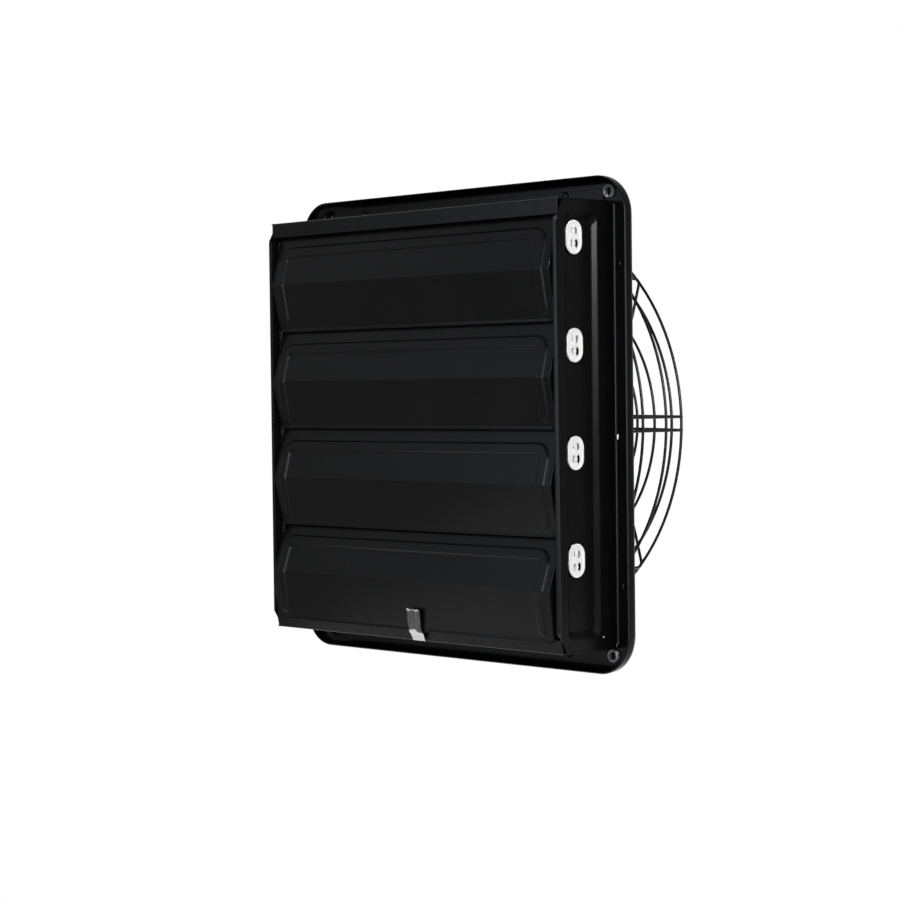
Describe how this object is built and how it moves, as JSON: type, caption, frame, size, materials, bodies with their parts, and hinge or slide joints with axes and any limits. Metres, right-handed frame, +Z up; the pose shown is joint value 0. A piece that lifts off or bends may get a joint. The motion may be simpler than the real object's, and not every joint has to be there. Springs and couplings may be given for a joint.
{
  "type": "wall shutter exhaust fan",
  "caption": "Square black wall exhaust fan: linked louver shutter in front, round throat with a bladed wheel, and a motor carried in a domed wire guard behind.",
  "frame": {"origin": "on the fan's axis, in the plane where the wall plate's rim meets the wall", "axes": "+Z up, -Y outdoors through the shutter, +Y into the room along the motor's axis, +X to the right seen from outdoors"},
  "size_m": [0.49, 0.2624, 0.49],
  "materials": {
    "black_paint": "satin black powder coat, faintly blue",
    "black_wire": "satin black coated steel wire",
    "white_nylon": "natural white moulded nylon",
    "zinc_steel": "bright zinc plating",
    "bright_steel": "ground steel",
    "core_steel": "stacked electrical steel, dull",
    "wheel_aluminium": "pressed sheet, satin",
    "motor_paint": "fine-textured black paint",
    "black_plastic": "moulded, fine grain"
  },
  "bodies": {
    "fan_frame": {"wall_plate": "black_paint", "side_sheet_right": "black_paint", "side_sheet_left": "black_paint", "top_sheet": "black_paint", "bottom_sheet": "black_paint", "bushing_right_1": "white_nylon", "bushing_right_2": "white_nylon", "bushing_right_3": "white_nylon", "bushing_right_4": "white_nylon", "bushing_left_1": "white_nylon", "bushing_left_2": "white_nylon", "bushing_left_3": "white_nylon", "bushing_left_4": "white_nylon", "flange_screw_1": "black_paint", "flange_screw_2": "black_paint", "flange_screw_3": "black_paint", "flange_screw_4": "black_paint", "flange_screw_5": "black_paint", "flange_screw_6": "black_paint", "flange_screw_7": "black_paint", "flange_screw_8": "black_paint", "wire_guard": "black_wire", "guard_screw_1": "zinc_steel", "guard_screw_2": "zinc_steel", "guard_screw_3": "zinc_steel", "guard_screw_4": "zinc_steel", "guard_screw_5": "zinc_steel", "guard_screw_6": "zinc_steel", "guard_screw_7": "zinc_steel", "guard_screw_8": "zinc_steel", "motor_mount_disc": "zinc_steel", "mount_bolt_1": "zinc_steel", "mount_bolt_2": "zinc_steel", "mount_bolt_3": "zinc_steel", "mount_bolt_4": "zinc_steel", "motor_shell": "motor_paint", "stator_core": "core_steel", "motor_back_cap": "motor_paint", "motor_front_cap": "motor_paint", "front_bearing": "bright_steel", "back_bearing": "bright_steel", "terminal_box": "black_plastic", "terminal_cover": "black_plastic", "cable_gland": "black_plastic"},
    "fan_rotor": {"motor_shaft": "bright_steel", "rotor_core": "core_steel", "fan_wheel": "wheel_aluminium", "fan_hub": "bright_steel", "hub_set_screw": "zinc_steel"},
    "louver_1": {"louver_1": "black_paint"},
    "louver_2": {"louver_2": "black_paint"},
    "louver_3": {"louver_3": "black_paint"},
    "louver_4": {"louver_4": "black_paint"},
    "tie_bar": {"tie_bar": "zinc_steel"}
  },
  "joints": [
    {"name": "fan_spin", "type": "hinge", "parent": "fan_frame", "child": "fan_rotor", "pos_m": [0, 0.05, 0], "axis": [0, 1, 0], "continuous": true},
    {"name": "louver_1_swing", "type": "hinge", "parent": "fan_frame", "child": "louver_1", "pos_m": [0, -0.0433, 0.1885], "axis": [-1, 0, 0], "range_deg": [0, 60]},
    {"name": "louver_2_swing", "type": "hinge", "parent": "fan_frame", "child": "louver_2", "pos_m": [0, -0.0433, 0.08425], "axis": [-1, 0, 0], "range_deg": [0, 60]},
    {"name": "louver_3_swing", "type": "hinge", "parent": "fan_frame", "child": "louver_3", "pos_m": [0, -0.0433, -0.02], "axis": [-1, 0, 0], "range_deg": [0, 60]},
    {"name": "louver_4_swing", "type": "hinge", "parent": "fan_frame", "child": "louver_4", "pos_m": [0, -0.0433, -0.12425], "axis": [-1, 0, 0], "range_deg": [0, 60]},
    {"name": "tie_bar_pin", "type": "hinge", "parent": "louver_1", "child": "tie_bar", "pos_m": [0.013, -0.0413, 0.2125], "axis": [-1, 0, 0], "range_deg": [-60, 0]}
  ],
  "couplings": [
    {"joint": "louver_2_swing", "follows": "louver_1_swing", "ratio": 1},
    {"joint": "louver_3_swing", "follows": "louver_1_swing", "ratio": 1},
    {"joint": "louver_4_swing", "follows": "louver_1_swing", "ratio": 1},
    {"joint": "tie_bar_pin", "follows": "louver_1_swing", "ratio": -1}
  ]
}
